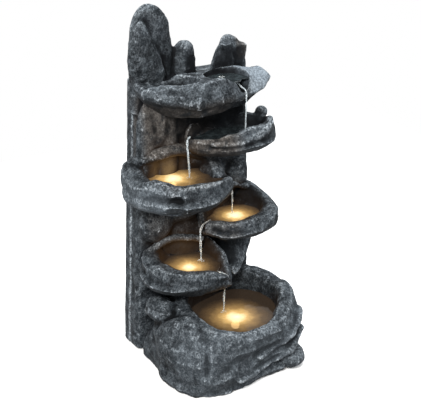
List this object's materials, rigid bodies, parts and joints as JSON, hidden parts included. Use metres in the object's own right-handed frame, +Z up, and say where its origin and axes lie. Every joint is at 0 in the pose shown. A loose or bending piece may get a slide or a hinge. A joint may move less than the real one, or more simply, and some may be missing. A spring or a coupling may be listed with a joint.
{
  "type": "tiered water fountain",
  "caption": "Tall rock-wall water fountain with stepped bowls, lit pools, a recirculating pump and a rear access door.",
  "frame": {"origin": "centre of the footprint's bounding box, on the surface that the rubber pads stand on", "axes": "+Z up; -Y is the front, where the bowls are; +X is the viewer's right when facing the front"},
  "size_m": [0.4638, 0.4305, 0.968],
  "materials": {
    "cast_rock": "charcoal cast resin stone, dry-brushed pale grey on its ridges, matt",
    "black_plastic": "moulded black ABS, fine grain",
    "dial_plastic": "moulded blue dial",
    "rotor_plastic": "white moulded rotor",
    "ceramic_shaft": "ground white ceramic",
    "hinge_steel": "stainless, brushed",
    "black_rubber": "soft black rubber, matt",
    "lead_jacket": "black cable jacket",
    "pod_metal": "turned aluminium, satin",
    "lens_clear": "clear lens over a warm white lamp",
    "clear_tube": "clear vinyl tube"
  },
  "bodies": {
    "fountain": {"wall_shell": "cast_rock", "back_panel": "cast_rock", "head_cascade": "cast_rock", "bowl_upper_right": "cast_rock", "bowl_left": "cast_rock", "bowl_right": "cast_rock", "bowl_lower_left": "cast_rock", "rock_fin": "cast_rock", "basin": "cast_rock", "foot_boulder": "cast_rock", "pump_housing": "black_plastic", "pump_volute_cap": "black_plastic", "top_outlet": "black_plastic", "tube_clamp_lower": "black_plastic", "tube_clamp_upper": "black_plastic", "junction_box": "black_plastic", "junction_lid": "black_plastic", "cable_gland": "black_plastic", "impeller_shaft": "ceramic_shaft", "hinge_bracket_lower": "hinge_steel", "hinge_bracket_upper": "hinge_steel", "hinge_pin": "hinge_steel", "suction_foot_1": "black_rubber", "suction_foot_2": "black_rubber", "suction_foot_3": "black_rubber", "suction_foot_4": "black_rubber", "foot_pad_front_left": "black_rubber", "foot_pad_front_right": "black_rubber", "foot_pad_back_left": "black_rubber", "foot_pad_back_right": "black_rubber", "led_gasket_basin": "black_rubber", "led_gasket_left": "black_rubber", "led_gasket_lower_left": "black_rubber", "led_gasket_right": "black_rubber", "led_lead_basin": "lead_jacket", "led_lead_left": "lead_jacket", "led_lead_lower_left": "lead_jacket", "led_lead_right": "lead_jacket", "led_housing_basin": "pod_metal", "led_housing_left": "pod_metal", "led_housing_lower_left": "pod_metal", "led_housing_right": "pod_metal", "led_lens_basin": "lens_clear", "led_lens_left": "lens_clear", "led_lens_lower_left": "lens_clear", "led_lens_right": "lens_clear", "riser_tube": "clear_tube"},
    "door": {"access_door": "cast_rock", "door_knob": "black_plastic"},
    "impeller": {"impeller": "rotor_plastic"},
    "dial": {"flow_dial": "dial_plastic"},
    "strainer": {"intake_cover": "black_plastic"},
    "drain_bung": {"drain_plug": "black_rubber"}
  },
  "joints": [
    {"name": "door_hinge", "type": "hinge", "parent": "fountain", "child": "door", "pos_m": [-0.084, 0.2096, 0.15], "axis": [0, 0, 1], "range_deg": [0, 110]},
    {"name": "impeller_spin", "type": "hinge", "parent": "fountain", "child": "impeller", "pos_m": [-0.02, 0.14, 0.044], "axis": [1, 0, 0], "continuous": true},
    {"name": "flow_dial_turn", "type": "hinge", "parent": "fountain", "child": "dial", "pos_m": [0.012, 0.1593, 0.044], "axis": [0, 1, 0], "range_deg": [0, 90]},
    {"name": "intake_cover_slide", "type": "slide", "parent": "fountain", "child": "strainer", "axis": [-1, 0, 0], "range_m": [0, 0.025]},
    {"name": "drain_plug_slide", "type": "slide", "parent": "fountain", "child": "drain_bung", "axis": [0, 1, 0], "range_m": [0, 0.036]}
  ]
}
